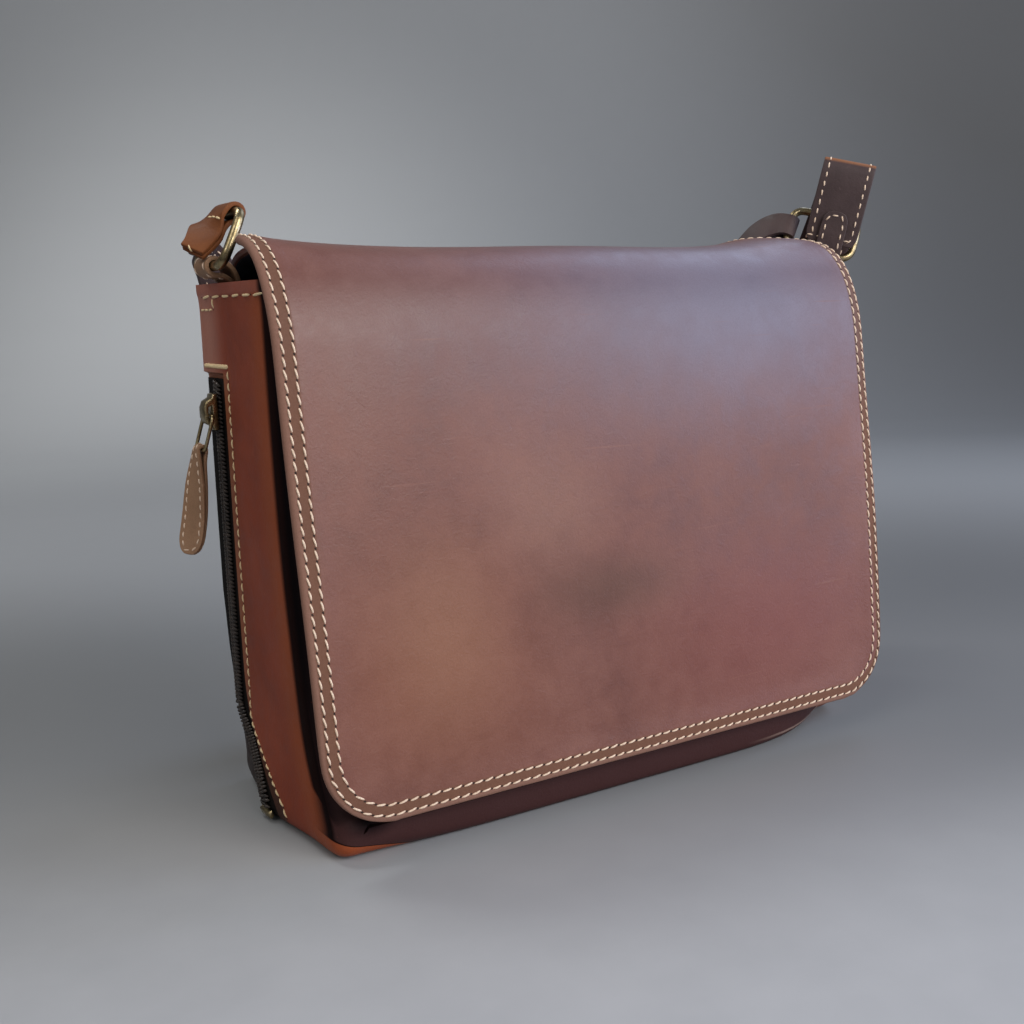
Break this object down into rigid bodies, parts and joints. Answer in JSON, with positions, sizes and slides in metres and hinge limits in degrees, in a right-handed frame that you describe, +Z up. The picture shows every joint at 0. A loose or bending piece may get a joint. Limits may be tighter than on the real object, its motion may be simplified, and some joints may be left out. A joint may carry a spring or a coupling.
{
  "type": "leather organizer bag",
  "caption": "Shoulder bag of brown leather with a full front flap, a zipped side pocket with a leather pull, brass rings and a long strap hanging behind it.",
  "frame": {"origin": "a point on the flat base below the middle of the bag", "axes": "+Z up, -Y out of the flap's front, +X to the right as seen from the front"},
  "size_m": [0.3573, 0.162, 0.274],
  "materials": {
    "gusset_leather": "waxed reddish brown leather",
    "panel_leather": "waxed dark brown leather",
    "flap_leather": "waxed brown leather with a soft sheen",
    "strap_leather": "matte brown leather",
    "zip_tape": "black woven tape",
    "zip_teeth": "dark coil",
    "brass": "antique brass"
  },
  "bodies": {
    "root": {"gusset": "gusset_leather", "front_panel": "panel_leather", "back_panel": "panel_leather", "flap": "flap_leather", "zipper_tape": "zip_tape", "zipper_teeth": "zip_teeth", "zipper_stop": "brass", "zipper_slider": "brass", "zipper_link": "brass", "zipper_pull": "strap_leather", "ring_tab_left": "strap_leather", "ring_tab_right": "strap_leather", "ring_left": "brass", "ring_right": "brass", "ring_tongue_left": "gusset_leather", "strap_tongue_right": "strap_leather", "shoulder_strap": "strap_leather"}
  },
  "joints": []
}
